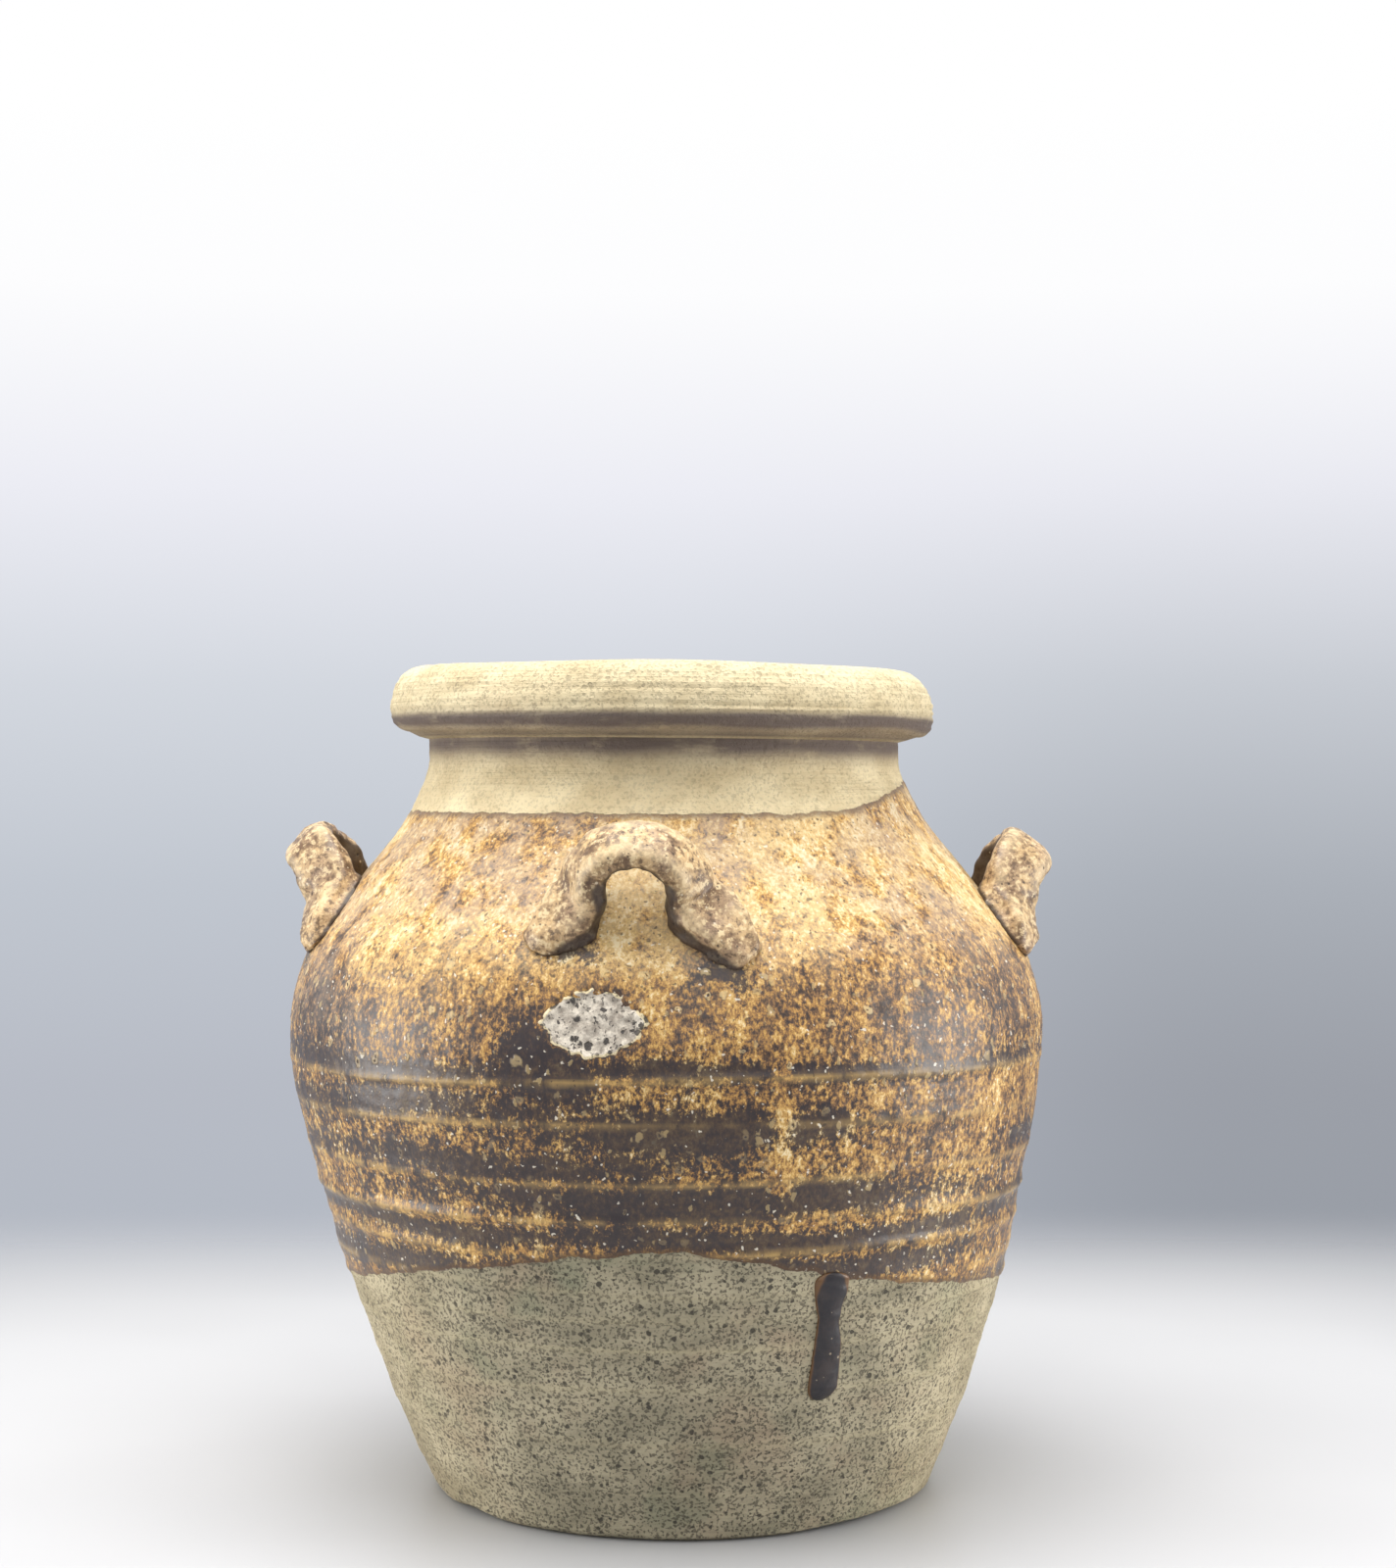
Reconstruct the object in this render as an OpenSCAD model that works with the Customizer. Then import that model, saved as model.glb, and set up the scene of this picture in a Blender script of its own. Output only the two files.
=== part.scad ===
// Stoneware storage jar: a thrown body in luted sections, a rolled rim and four strap lugs.
// Millimetres, +Z up. The origin is the centre of the foot on the floor, and the front faces -Y.

/* [Outline of the body] */
// Radius of the foot on the floor
foot_r = 57.5; // [48:0.5:69]
// Rise from the floor to the heel
heel_rise = 24; // [18:1:30]
// Radius at the heel
heel_r = 67.5; // [58:0.5:80]
// Rise from the heel to the flank
flank_rise = 36; // [30:1:44]
// Radius at the flank
flank_r = 78.5; // [70:0.5:94]
// Rise from the flank to the belly, where the body is widest
belly_rise = 47; // [38:1:57]
// Radius at the belly
belly_r = 87.5; // [72:0.5:105]
// Rise from the belly to the brow, where the shoulder turns in
brow_rise = 15; // [12:1:19]
// Radius at the brow
brow_r = 84.5; // [72:0.5:100]
// Rise from the brow to the middle of the shoulder
shoulder_rise = 18; // [15:1:22]
// Radius at the middle of the shoulder
shoulder_r = 72; // [65:0.5:84]
// Rise from the middle of the shoulder to the collar, where the neck begins
collar_rise = 17; // [14:1:21]
// Radius at the collar
collar_r = 59.3; // [56:0.1:70]

/* [Neck and rim] */
// Rise from the collar to the narrowest part of the neck
neck_rise = 12; // [9:0.5:15]
// Outer radius of the neck at its narrowest
neck_r = 55; // [52:0.5:62]
// Straight height from there to the underside of the rim
neck_top = 5.5; // [4:0.5:9]
// Radius of the mouth, inside the neck and the rim
mouth_r = 48.5; // [40:0.5:50]
// Height of the rolled rim
rim_h = 15; // [12.5:0.5:18]
// Outer radius of the rolled rim
rim_r = 63.6; // [60:0.1:76]
// Radius of the rim's lower outer corner
rim_corner = 4; // [3:0.5:5]
// Height of the rim's rounded top, outside
rim_crown = 9.5; // [8:0.5:10.5]
// Radius of the rounded edge at the mouth
mouth_edge = 3; // [2:0.5:4]

/* [Walls and seams] */
// Thickness of the thrown wall
wall_t = 6.5; // [5:0.5:8]
// Thickness of the floor slab
floor_t = 8; // [6:0.5:10]
// Chamfer round the foot
foot_chamfer = 1.2; // [0.8:0.1:2]
// Height of the slab's edge outside, below the first seam
slab_edge = 3; // [2.5:0.5:4]
// Rise from the heel to the seam between the lower wall and the belly wall
lower_seam_rise = 27.5; // [22:0.5:29]
// Drop from the belly to the seam between the belly wall and the shoulder wall
belly_seam_drop = 6; // [4:0.5:12]
// Height of the bevel in each luted seam, from outside to inside
seam_bevel = 3; // [2:0.5:4]

/* [Throwing rings] */
// How far a throwing ring stands out of the wall
ring_proud = 0.6; // [0.2:0.1:1]
// Height of a ring's slope on either side
ring_spread = 1.8; // [1.4:0.1:2.5]

/* [Lugs] */
// Rise from the brow to the lug's crown, measured along the wall's height
lug_rise = 17.5; // [15:0.5:19]
// How far the middle of the strap stands off the shoulder at the crown
lug_stand = 15; // [13:0.1:16.5]
// Half the span of the strap's middle line where the legs start
lug_half_span = 8.4; // [7.6:0.1:10]
// Width of the strap at the crown
strap_w = 12.5; // [10:0.5:15]
// Thickness of the strap at the crown
strap_t = 5.2; // [4.2:0.1:6]
// Length of each pressed foot along the shoulder
lug_foot = 12; // [9:0.5:14]
// Roll of the strap out of the shoulder's slope at the crown, in degrees
strap_roll = 15; // [5:1:25]

/* [Glaze run and kiln scar] */
// Bearing of the glaze run from the front, towards +X, in degrees
run_bearing = 25.5; // [0:0.5:60]
// Height of the lower end of the run
run_low = 32; // [28:1:38]
// Length of the run from its lower end up
run_l = 28; // [22:1:32]
// Width of the run
run_w = 6.6; // [5:0.2:9]
// Depth of the run's seat in the wall
run_depth = 0.5; // [0.3:0.1:1]
// How far the run stands out of the wall
run_proud = 1.2; // [0.8:0.1:1.8]
// Bearing of the kiln scar from the front, in degrees
scar_bearing = -10; // [-30:1:10]
// Rise from the belly to the middle of the scar
scar_rise = 7; // [6:0.5:8]
// Length of the scar round the belly
scar_l = 24; // [16:1:26]
// Height of the scar
scar_h = 14; // [10:1:15]
// Depth of the scar's seat in the wall
scar_depth = 0.9; // [0.6:0.1:1.5]
// How far the scar's clay stands out of the wall
scar_proud = 0.3; // [0.1:0.1:0.8]

/* [Hidden] */
$fn = 96;

// Heights of the stations up the body
heel_z = heel_rise;
flank_z = heel_z + flank_rise;
belly_z = flank_z + belly_rise;
brow_z = belly_z + brow_rise;
shoulder_z = brow_z + shoulder_rise;
collar_z = shoulder_z + collar_rise;
neck_z = collar_z + neck_rise;
rim_z = neck_z + neck_top;
jar_h = rim_z + rim_h;

// Heights of the seams, at the middle of their bevels
slab_seam_z = slab_edge + seam_bevel / 2;
lower_seam_z = heel_z + lower_seam_rise;
belly_seam_z = belly_z - belly_seam_drop;

// The lugs, each a little off the quarter and off level as a hand sets them: [bearing, rise of its own]
LUG_FRONT = [-4, 2];
LUG_RIGHT = [90, -1.2];
LUG_BACK = [176, 0];
LUG_LEFT = [270, 0.6];

// The throwing rings, each at its share of the belly's height, uneven as the thrower's hand rose
RINGS = [0.1, 0.21, 0.32, 0.48, 0.61, 0.675, 0.82, 0.944];

// Longest straight piece in the outline of the body, and in an arc
outline_step = 2;
ring_step = 0.9;
arc_steps = 10;
// Margin by which a cutter passes what it cuts
past = 2;
// Share of the rim's top that its rounded outer side takes up, across
crown_share = 0.625;

// Cuts between two stations of a lug's strap, and sides of its section
strap_cuts = 4;
strap_sides = 12;
// Power that squares up the strap's oval section. At 1 it is a true oval
bar_power = 0.65;
// Step along the strap over which its direction is taken
strap_step = 0.05;
// From the leg's start to where the foot turns flat, round the shoulder
foot_start = 1.9;
// Turn of each foot away from the strap's middle line, in degrees
foot_splay = 42;

// Stations of the outline, each [height, radius], outside and inside
OUTSIDE = [[0, foot_r], [heel_z, heel_r], [flank_z, flank_r], [belly_z, belly_r], [brow_z, brow_r],
           [shoulder_z, shoulder_r], [collar_z, collar_r], [neck_z, neck_r], [rim_z, neck_r]];
INSIDE = concat([for (i = [0:5]) [OUTSIDE[i][0], OUTSIDE[i][1] - inset(i)]],
                [[collar_z, mouth_r], [rim_z, mouth_r]]);

// Horizontal depth of a wall of thickness wall_t where the outline slopes
function inset(i) = wall_t * sqrt(1 + pow(station_slope(OUTSIDE, i), 2));

// Slope of a smooth outline at a station: level at each turn, and never steeper than its neighbours
function secant(s, i) = (s[i + 1][1] - s[i][1]) / (s[i + 1][0] - s[i][0]);
function station_slope(s, i) =
    i == 0 ? secant(s, 0) :
    i == len(s) - 1 ? 0 :
    let (a = secant(s, i - 1), b = secant(s, i)) a * b <= 0 ? 0 : 2 * a * b / (a + b);

// Radius of a smooth outline at a height, on a cubic between the two stations round it
function span_at(s, z, i = 0) = i >= len(s) - 2 || z < s[i + 1][0] ? i : span_at(s, z, i + 1);
function cubic(s, z, i) =
    let (h = s[i + 1][0] - s[i][0], t = (z - s[i][0]) / h)
    (2 * t * t * t - 3 * t * t + 1) * s[i][1]
    + (t * t * t - 2 * t * t + t) * h * station_slope(s, i)
    + (3 * t * t - 2 * t * t * t) * s[i + 1][1]
    + (t * t * t - t * t) * h * station_slope(s, i + 1);
function smooth_r(s, z) = cubic(s, z, span_at(s, z));

// Throwing rings, as soft ridges on the outside
function ring_offset(z, i) = z - RINGS[i] * belly_z;
function sum(list, i = 0) = i < len(list) ? list[i] + sum(list, i + 1) : 0;
function rings(z) =
    sum([for (i = [0:len(RINGS) - 1]) ring_proud * exp(-pow(ring_offset(z, i) / (ring_spread / 2), 2))]);
function near_ring(z) = min([for (i = [0:len(RINGS) - 1]) abs(ring_offset(z, i))]) < ring_spread;

function outside_r(z) = smooth_r(OUTSIDE, z) + rings(z);
function inside_r(z) = smooth_r(INSIDE, z);

// Heights from one to another, closer together at the throwing rings
function climb(a, b) = a >= b ? [b] : concat([a], climb(a + (near_ring(a) ? ring_step : outline_step), b));
function reversed(list) = [for (i = [len(list) - 1:-1:0]) list[i]];
function outside_points(a, b) = [for (z = climb(a, b)) [outside_r(z), z]];
function inside_points(a, b) = [for (z = reversed(climb(a, b))) [inside_r(z), z]];

// Points of an arc about a centre, from one angle to another, with its own radius along each axis
function arc(centre, rx, ry, from, to) =
    [for (i = [0:arc_steps]) let (a = from + (to - from) * i / arc_steps) centre + [rx * cos(a), ry * sin(a)]];

// Solid inside the body's outer surface, for cutting what is seated on it
module body_core(low, high) {
    rotate_extrude() polygon(concat([[0, low]], outside_points(low, high), [[0, high]]));
}

// Band that follows the body's outer surface at some heights, from so far under it to so far out of it
module skin(heights, under, out) {
    rotate_extrude() polygon(concat(
        [for (z = heights) [outside_r(z) + out, z]],
        [for (z = reversed(heights)) [outside_r(z) - under, z]]));
}

// Thrown wall between two bevelled seams. Inside, each seam lies one bevel higher
module thrown_wall(low, high) {
    rotate_extrude() polygon(concat(
        outside_points(low - seam_bevel / 2, high - seam_bevel / 2),
        inside_points(low + seam_bevel / 2, high + seam_bevel / 2)));
}

module base_slab() color([0.55, 0.52, 0.42]) {
    floor_in_r = inside_r(slab_seam_z + seam_bevel / 2);
    rotate_extrude() polygon(concat(
        [[0, 0], [foot_r - foot_chamfer, 0]],
        outside_points(foot_chamfer, slab_edge),
        [[floor_in_r, slab_seam_z + seam_bevel / 2], [floor_in_r - wall_t, floor_t], [0, floor_t]]));
}

module lower_wall() color([0.58, 0.55, 0.44]) difference() {
    thrown_wall(slab_seam_z, lower_seam_z);
    run_shape(run_depth, past);
}

module belly_wall() color([0.36, 0.25, 0.16]) difference() {
    thrown_wall(lower_seam_z, belly_seam_z);
    run_shape(run_depth, past);
}

module shoulder_wall() color([0.52, 0.36, 0.18]) difference() {
    thrown_wall(belly_seam_z, collar_z);
    scar_shape(scar_depth, past);
}

module neck_collar() color([0.75, 0.68, 0.5]) thrown_wall(collar_z, rim_z);

module rim_roll() color([0.8, 0.74, 0.55]) {
    crown_rx = (rim_r - mouth_r - mouth_edge) * crown_share;
    rotate_extrude() polygon(concat(
        [[mouth_r, rim_z + seam_bevel / 2], [neck_r, rim_z - seam_bevel / 2]],
        arc([rim_r - rim_corner, rim_z + rim_corner], rim_corner, rim_corner, -90, 0),
        arc([rim_r - crown_rx, jar_h - rim_crown], crown_rx, rim_crown, 0, 90),
        arc([mouth_r + mouth_edge, jar_h - mouth_edge], mouth_edge, mouth_edge, 90, 180)));
}

// Lugs. A place on the strap is [round, rise, off]: round the shoulder to the right of the lug's middle,
// up from its crown's height and off the shoulder's surface
function shoulder_slope(z) = smooth_r(OUTSIDE, z + 0.5) - smooth_r(OUTSIDE, z - 0.5);
function lug_turn(p, base) = p[0] / smooth_r(OUTSIDE, base + p[1]) * 180 / PI;
function lug_out(p, base) = let (s = shoulder_slope(base + p[1])) [1, -s] / norm([1, -s]);
function lug_point(p, base) =
    let (a = lug_turn(p, base), n = lug_out(p, base), r = smooth_r(OUTSIDE, base + p[1]) + p[2] * n[0])
    [r * sin(a), -r * cos(a), base + p[1] + p[2] * n[1]];
// A direction given as [round, down, off] of the surface, at a place on the strap
function lug_direction(p, d, base) =
    let (a = lug_turn(p, base), n = lug_out(p, base))
    d[0] * [cos(a), sin(a), 0]
    + d[1] * [n[1] * sin(a), -n[1] * cos(a), -n[0]]
    + d[2] * [n[0] * sin(a), -n[0] * cos(a), n[1]];

// Stations of half a strap, from its crown to the tip of its foot:
// [place, share of the foot's twist, width, thickness]
foot_reach = lug_half_span + foot_start;
HALF_STRAP = [
    [[0, 0, lug_stand], 0, strap_w, strap_t],
    [[lug_half_span * 0.45, 0, lug_stand * 0.95], 0.02, strap_w, strap_t],
    [[lug_half_span * 0.84, -0.3, lug_stand * 0.76], 0.08, strap_w, strap_t],
    [[lug_half_span, -1.2, lug_stand * 0.5], 0.22, strap_w, strap_t + 0.3],
    [[foot_reach, -3.6, lug_stand * 0.25], 0.55, strap_w + 0.5, strap_t + 1],
    [[foot_reach + lug_foot * 0.33, -6.8, 2.2], 0.85, strap_w + 0.5, strap_t + 1.2],
    [[foot_reach + lug_foot * 0.66, -9.8, 1.6], 1, strap_w - 2, strap_t + 0.6],
    [[foot_reach + lug_foot * 0.9, -12, 0.3], 1, strap_w - 6.5, strap_t - 1]];

// Smooth value through the stations, which mirror at the crown
function strap_value(i, k) =
    let (v = HALF_STRAP[min(abs(i), len(HALF_STRAP) - 1)][k])
    i < 0 ? mirrored(v, k) : v;
function mirrored(v, k) = k == 0 ? [-v[0], v[1], v[2]] : k == 1 ? -v : v;
function eased(i, t, k) =
    let (a = strap_value(i - 1, k), b = strap_value(i, k), c = strap_value(i + 1, k), d = strap_value(i + 2, k))
    0.5 * (2 * b + (c - a) * t + (2 * a - 5 * b + 4 * c - d) * t * t + (3 * b - a - 3 * c + d) * t * t * t);
function strap_at(s, k) = let (i = floor(s)) eased(i, s - i, k);

// One ring of points round the strap, a rounded bar across its middle line
function strap_ring(s, base) =
    let (p = strap_at(s, 0),
         twist = strap_at(s, 1),
         ahead = lug_point(strap_at(s + strap_step, 0), base) - lug_point(strap_at(s - strap_step, 0), base),
         along = ahead / norm(ahead),
         roll = strap_roll * (1 - abs(twist)),
         turn = foot_splay * twist,
         rough_w = lug_direction(p, [-sin(turn), cos(turn) * cos(roll), sin(roll)], base),
         flat_w = rough_w - (rough_w * along) * along,
         across = flat_w / norm(flat_w),
         up = cross(across, along))
    [for (i = [0:strap_sides - 1])
        let (a = (i + 0.5) * 360 / strap_sides)
        lug_point(p, base) + across * strap_at(s, 2) / 2 * bar(cos(a)) + up * strap_at(s, 3) / 2 * bar(sin(a))];
function bar(c) = sign(c) * pow(abs(c), bar_power);

module strap(base) {
    last = (len(HALF_STRAP) - 1) * strap_cuts;
    rings = [for (j = [-last:last]) strap_ring(j / strap_cuts, base)];
    n = strap_sides;
    ends = [[for (i = [0:n - 1]) i], [for (i = [n - 1:-1:0]) i + n * (len(rings) - 1)]];
    sides = [for (j = [0:len(rings) - 2]) for (i = [0:n - 1])
        let (a = j * n + i, b = j * n + (i + 1) % n)
        each [[a, a + n, b], [b, a + n, b + n]]];
    polyhedron([for (ring = rings) each ring], concat(ends, sides));
}

module lug(place) color([0.5, 0.4, 0.25]) rotate([0, 0, place[0]]) difference() {
    strap(brow_z + lug_rise + place[1]);
    body_core(belly_seam_z, rim_z);
}

// Run of glaze that follows the wall, with round ends, from so far under its surface to so far out of it
module run_shape(under, out) {
    end_r = run_w / 2;
    middle = run_low + run_l / 2;
    half_straight = run_l / 2 - end_r;
    // The skin's points keep off the tips of the round ends
    heights = [for (k = [-4.5:4.5]) middle + k * run_l / 8];
    intersection() {
        rotate([0, 0, run_bearing]) translate([0, 0, middle]) rotate([90, 0, 0])
            linear_extrude(belly_r + past) polygon(concat(
                arc([0, half_straight], end_r, end_r, 0, 180),
                arc([0, -half_straight], end_r, end_r, 180, 360)));
        skin(heights, under, out);
    }
}

module glaze_run() color([0.2, 0.16, 0.17]) run_shape(run_depth, run_proud);

// Lens-shaped patch that follows the belly, from so far under its surface to so far out of it
module scar_shape(under, out) {
    lens_r = (pow(scar_l / 2, 2) + pow(scar_h / 2, 2)) / scar_h;
    middle = belly_z + scar_rise;
    // The skin's points keep off the lens's tips, top and bottom
    heights = [for (k = [-3.5:3.5]) middle + k * scar_h / 6];
    intersection() {
        rotate([0, 0, scar_bearing]) translate([0, 0, middle]) rotate([90, 0, 0])
            linear_extrude(belly_r + past) intersection() {
                translate([0, lens_r - scar_h / 2]) circle(lens_r);
                translate([0, scar_h / 2 - lens_r]) circle(lens_r);
            }
        skin(heights, under, out);
    }
}

module kiln_scar() color([0.72, 0.68, 0.6]) scar_shape(scar_depth, scar_proud);

base_slab();
lower_wall();
belly_wall();
shoulder_wall();
neck_collar();
rim_roll();
lug(LUG_FRONT);  // lug_front
lug(LUG_RIGHT);  // lug_right
lug(LUG_BACK);  // lug_back
lug(LUG_LEFT);  // lug_left
glaze_run();
kiln_scar();
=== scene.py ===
# Looks of a stoneware storage jar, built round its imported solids. Blender's scene is in metres, +Z up, and
# the front faces -Y. Shapes are worked out in millimetres and turned to metres when a mesh is made.
import math

import bpy
import numpy as np
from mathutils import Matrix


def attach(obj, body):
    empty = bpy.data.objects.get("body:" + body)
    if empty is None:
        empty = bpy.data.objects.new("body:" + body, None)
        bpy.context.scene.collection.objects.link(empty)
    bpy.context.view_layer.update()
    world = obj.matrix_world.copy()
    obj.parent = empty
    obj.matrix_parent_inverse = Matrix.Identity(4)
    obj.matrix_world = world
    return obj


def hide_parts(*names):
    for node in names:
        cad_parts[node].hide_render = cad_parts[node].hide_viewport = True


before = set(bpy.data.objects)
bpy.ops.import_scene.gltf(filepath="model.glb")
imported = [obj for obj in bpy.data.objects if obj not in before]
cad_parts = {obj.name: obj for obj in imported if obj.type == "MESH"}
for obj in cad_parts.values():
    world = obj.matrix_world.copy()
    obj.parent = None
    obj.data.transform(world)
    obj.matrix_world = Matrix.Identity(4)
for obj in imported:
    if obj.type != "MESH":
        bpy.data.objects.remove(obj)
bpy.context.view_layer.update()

MM = 0.001
PHOTO_H = 1600
SEED = 7

# Outline of the body, [height, radius], and the inside of its wall
OUTSIDE = np.array([[0, 57.5], [24, 67.5], [60, 78.5], [107, 87.5], [122, 84.5], [140, 72],
                    [157, 59.3], [169, 55], [174.5, 55], [190, 55]])
MOUTH_R = 48.5
WALL = 6.5
FLOOR_TOP = 8

# Seams between the thrown sections, from the foot up, and the rim
SLAB_Z = 4.5
LOWER_Z = 51.5
BELLY_Z = 101
COLLAR_Z = 157
RIM_Z = 174.5
JAR_H = 189.5
RIM_R = 63.6
RIM_MEAN_R = 60
BEVEL = 1.5

# Points round each thrown ring, and the step in height between two rings
COLUMNS = 640
ROW_STEP = 0.8

# How the real jar stands: a lean to the left about LEAN_Z, a rim that is lower at the right, and a belly
# that lies to the left of the foot
LEAN = math.tan(math.radians(1.5))
LEAN_Z = 95
RIM_DROP = math.tan(math.radians(0.5))
RIM_DROP_FROM = 145
RIM_DROP_TO = 180
BELLY_SHIFT = 1.1

# Throwing ridges on the outside: [height, how far it stands out, half its width]
RIDGES = [[101, 0.5, 0.8], [92, 0.18, 1.6], [80.5, 0.3, 1.0], [72, 0.75, 1.0], [65, 0.7, 1.1],
          [57, 0.5, 2.4], [51.5, 0.6, 0.8], [44, 0.25, 1.8], [34, 0.4, 1.4], [22, 0.35, 1.8],
          [10, 0.3, 1.6]]
# Chips in the clay: [bearing from the front in degrees, height, half its width, depth]. A depth below
# nothing is a grain that stands out.
CHIPS = [[62, 22, 2.2, 0.9], [66, 29, 1.6, 0.6], [57, 12, 1.8, 0.6], [-70, 15, 2, 0.4],
         [-4, 36.5, 1.1, -0.35], [150, 40, 2.5, 0.7], [-120, 20, 2, 0.5]]
RIM_CHIPS = [[-66, 189, 2.3, 1.0], [-76, 186, 1.7, 0.7], [-58, 189.5, 1.3, 0.5], [35, 176, 1.5, 0.5],
             [118, 188, 2.4, 0.9], [-150, 177, 2.2, 0.8], [8, 181, 0.9, 0.3]]

# Edges of the glaze round the jar: [bearing from the front in degrees, height]
GLAZE_LOW = [[-180, 53], [-135, 50], [-90, 49], [-65, 53], [-40, 59], [-13, 64.5], [2, 66.6], [7, 64.6],
             [12, 63.4], [27, 58.9], [65, 51.8], [90, 49], [135, 50], [180, 53]]
GLAZE_HIGH = [[-180, 156.6], [30, 156.6], [45, 157.6], [60, 160.5], [85, 164.5], [110, 163], [140, 158],
              [180, 156.6]]
# How far the glaze stands off the clay, and how deep inside its edge the depth is counted
GLAZE_THICK = 0.28
GLAZE_REACH = 12
# Dark bands in the glaze: [height, half its width, bearing of its darkest part, its reach round the jar,
# strength]
BANDS = [[103, 2.6, -45, 50, 0.7], [103.5, 2.2, 25, 50, 0.9], [92, 4.5, 12, 24, 1.0],
         [95, 3.5, -60, 60, 0.7], [76.5, 3.6, 8, 42, 1.15], [84, 3.2, -35, 45, 0.75],
         [69, 2.0, -50, 60, 0.9], [68.5, 2.2, 20, 60, 0.95], [61.5, 2.6, 24, 26, 1.2],
         [60.5, 3.4, -65, 36, 1.0], [54, 3.2, 75, 30, 0.8], [84, 2.6, 70, 30, 0.9],
         [70, 2.4, 85, 30, 0.8], [104, 4, 150, 60, 0.7], [78, 4, 190, 70, 0.8], [62, 4, 165, 60, 0.9]]

# The run of dark glaze, and the pale streak on the belly
RUN_BEARING = 25.5
RUN_LOW = 31.9
RUN_HIGH = 60.5
STREAK_BEARING = 16

# The scar is a lens between two arcs, in a seat in the wall. SCAR_RINGS cover its face.
SCAR_BEARING = -9.8
SCAR_Z = 114
SCAR_L = 24
SCAR_H = 14
LENS_R = (SCAR_L ** 2 + SCAR_H ** 2) / (4 * SCAR_H)
LENS_OFF = LENS_R - SCAR_H / 2
SEAT_DEEP = 0.9
SCAR_RINGS = 27

# Strap lugs: front, right, back and left. STAND is how far the crown is off the wall, SPAN and REACH are
# how far its legs and its feet are to each side, and FOOT_SPLAY and STRAP_ROLL are in degrees.
LUG_BEARINGS = [-4, 90, 176, 270]
LUG_Z = 139.5
STRAP_W = 12.5
STRAP_T = 5.2
SPAN = 8.4
STAND = 15
REACH = SPAN + 1.9
STRAP_SIDES = 36
STRAP_CUTS = 9
FOOT_SPLAY = 42
STRAP_ROLL = 15
# Last rings of a foot: [how far past its end, size]
TIP_RINGS = [[0.9, 0.85], [1.5, 0.5]]
# Shade below the two feet of each lug: [distance from the lug's bearing, height, half its width]
FOOT_SHADES = [[-13, 130, 5.5], [17, 125.5, 6.5]]


def sine_field(u, v, count, reach_u, reach_v, seed):
    """Smooth random field in about -1 to 1, whole periods round u in radians."""
    rng = np.random.default_rng(seed)
    total = np.zeros(np.broadcast(u, v).shape)
    for _ in range(count):
        k = rng.integers(-reach_u, reach_u + 1)
        m = rng.uniform(-reach_v, reach_v)
        total = total + np.cos(k * u + m * v + rng.uniform(0, 2 * math.pi))
    return total / math.sqrt(count)


def lumps(p, wavelength, count, seed):
    """Smooth random field over points in space, in about -1 to 1."""
    rng = np.random.default_rng(seed)
    total = np.zeros(p.shape[:-1])
    for _ in range(count):
        d = rng.normal(size=3)
        d *= 2 * math.pi / (wavelength * rng.uniform(0.7, 1.6)) / np.linalg.norm(d)
        total = total + np.cos(p @ d + rng.uniform(0, 2 * math.pi))
    return total / math.sqrt(count)


def step(x, low, high):
    """0 below low, 1 above high, and smooth between them."""
    t = np.clip((x - low) / (high - low), 0, 1)
    return t * t * (3 - 2 * t)


def bump(x, half):
    """1 at 0 and falling smoothly to nothing at a few times half."""
    return np.exp(-(x / half) ** 2)


def turn_from(theta, bearing):
    """Signed turn in degrees from a bearing, -180 to 180."""
    return (np.degrees(theta) - bearing + 180) % 360 - 180


def near_bearing(theta, bearing, half):
    """1 at a bearing and falling smoothly to nothing at a few times half, in degrees."""
    return bump(turn_from(theta, bearing), half)


def round_angles(count, start=0):
    """Even angles round a whole turn, in radians."""
    return (np.arange(count) + start) * 2 * math.pi / count


def outline(z):
    """Radius of the smooth outline at each height, a cubic between stations whose slope never overshoots."""
    x, y = OUTSIDE[:, 0], OUTSIDE[:, 1]
    secants = np.diff(y) / np.diff(x)
    slopes = np.zeros(len(x))
    slopes[0] = secants[0]
    for i in range(1, len(x) - 1):
        a, b = secants[i - 1], secants[i]
        slopes[i] = 0 if a * b <= 0 else 2 * a * b / (a + b)
    i = np.clip(np.searchsorted(x, z, side="right") - 1, 0, len(x) - 2)
    h = x[i + 1] - x[i]
    t = (z - x[i]) / h
    return ((2 * t ** 3 - 3 * t ** 2 + 1) * y[i] + (t ** 3 - 2 * t ** 2 + t) * h * slopes[i]
            + (3 * t ** 2 - 2 * t ** 3) * y[i + 1] + (t ** 3 - t ** 2) * h * slopes[i + 1])


def wall_slope(z):
    """Change of the smooth outline's radius for one millimetre up."""
    return outline(z + 0.5) - outline(z - 0.5)


def round_from(theta, z, bearing):
    """Distance round the wall from a bearing, in millimetres."""
    return np.radians(turn_from(theta, bearing)) * outline(z)


def round_curve(points, theta):
    """Height of a curve round the jar at each bearing."""
    table = np.array(points)
    return np.interp(turn_from(theta, 0), table[:, 0], table[:, 1])


def glaze_depth(theta, z):
    """How far inside the glaze a place is, in millimetres. Negative on bare clay."""
    ragged = 0.35 * sine_field(theta, 0 * z, 12, 60, 0, SEED + 1)
    low = round_curve(GLAZE_LOW, theta) + ragged
    high = round_curve(GLAZE_HIGH, theta) + 0.4 * ragged
    return np.minimum(z - low, high - z)


def scar_depth(theta, z):
    """How far inside the scar's lens a place is, in millimetres. Negative outside."""
    across = round_from(theta, z, SCAR_BEARING)
    up = z - SCAR_Z
    jag = 0.5 * sine_field(np.arctan2(up, across), 0 * z, 9, 14, 0, SEED + 2)
    outside = np.maximum(np.hypot(across, up + LENS_OFF), np.hypot(across, up - LENS_OFF))
    return LENS_R - outside + jag


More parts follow.
